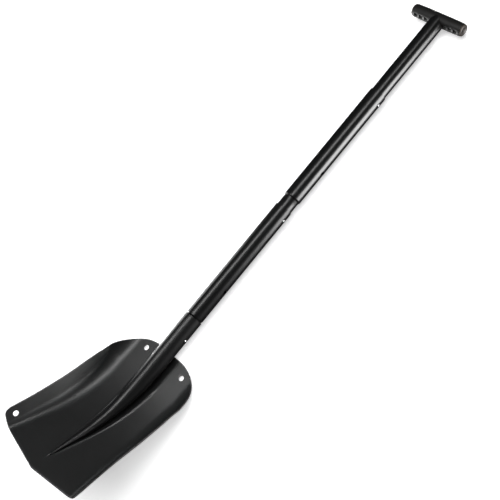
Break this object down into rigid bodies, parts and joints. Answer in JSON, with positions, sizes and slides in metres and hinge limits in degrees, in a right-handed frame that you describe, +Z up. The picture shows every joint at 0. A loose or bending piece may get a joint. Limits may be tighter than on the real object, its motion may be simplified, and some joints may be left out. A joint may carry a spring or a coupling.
{
  "type": "avalanche shovel",
  "caption": "Take-apart snow shovel: a deep pressed blade on a conical socket, two plug-in shaft tubes and a T-handle, locked by sprung snap buttons.",
  "frame": {"origin": "middle of the footprint's box, on the surface that the shovel lies on", "axes": "+Y along the shaft from the blade to the T-handle, +Z up out of the scoop, X across the blade and along the T-handle"},
  "size_m": [0.2204, 1.1056, 0.1296],
  "materials": {
    "black_coated_blade": "satin",
    "black_coated_tube": "satin",
    "black_nylon": "matte",
    "spring_steel": "satin",
    "button_steel": "polished"
  },
  "bodies": {
    "blade_assembly": {"blade": "black_coated_blade", "socket_tube": "black_coated_blade", "weld_left": "black_coated_blade", "weld_right": "black_coated_blade"},
    "lower_tube": {"lower_shaft": "black_coated_tube", "lower_clip": "spring_steel"},
    "upper_tube": {"upper_shaft": "black_coated_tube", "upper_clip": "spring_steel"},
    "handle": {"handle_stem": "black_coated_tube", "grip_bar": "black_nylon", "grip_cap_left": "black_nylon", "grip_cap_right": "black_nylon", "handle_clip": "spring_steel"},
    "lower_left_snap": {"lower_button_left": "button_steel"},
    "lower_right_snap": {"lower_button_right": "button_steel"},
    "upper_left_snap": {"upper_button_left": "button_steel"},
    "upper_right_snap": {"upper_button_right": "button_steel"},
    "handle_left_snap": {"handle_button_left": "button_steel"},
    "handle_right_snap": {"handle_button_right": "button_steel"}
  },
  "joints": [
    {"name": "lower_shaft_slide", "type": "slide", "parent": "blade_assembly", "child": "lower_tube", "axis": [0, 1, 0], "range_m": [0, 0.115], "deforming": ["lower_clip", "lower_button_left", "lower_button_right"]},
    {"name": "upper_shaft_slide", "type": "slide", "parent": "lower_tube", "child": "upper_tube", "axis": [0, 1, 0], "range_m": [-0.0225, 0.095], "deforming": ["upper_clip", "upper_button_left", "upper_button_right"]},
    {"name": "handle_slide", "type": "slide", "parent": "upper_tube", "child": "handle", "axis": [0, 1, 0], "range_m": [-0.168, 0.055], "deforming": ["handle_clip", "handle_button_left", "handle_button_right"]},
    {"name": "lower_left_press", "type": "slide", "parent": "lower_tube", "child": "lower_left_snap", "axis": [1, 0, 0], "range_m": [0, 0.004], "stiffness_N_per_m": 800, "springref_m": -0.004},
    {"name": "lower_right_press", "type": "slide", "parent": "lower_tube", "child": "lower_right_snap", "axis": [-1, 0, 0], "range_m": [0, 0.004], "stiffness_N_per_m": 800, "springref_m": -0.004},
    {"name": "upper_left_press", "type": "slide", "parent": "upper_tube", "child": "upper_left_snap", "axis": [1, 0, 0], "range_m": [0, 0.004], "stiffness_N_per_m": 800, "springref_m": -0.004},
    {"name": "upper_right_press", "type": "slide", "parent": "upper_tube", "child": "upper_right_snap", "axis": [-1, 0, 0], "range_m": [0, 0.004], "stiffness_N_per_m": 800, "springref_m": -0.004},
    {"name": "handle_left_press", "type": "slide", "parent": "handle", "child": "handle_left_snap", "axis": [1, 0, 0], "range_m": [0, 0.004], "stiffness_N_per_m": 800, "springref_m": -0.004},
    {"name": "handle_right_press", "type": "slide", "parent": "handle", "child": "handle_right_snap", "axis": [-1, 0, 0], "range_m": [0, 0.004], "stiffness_N_per_m": 800, "springref_m": -0.004}
  ]
}
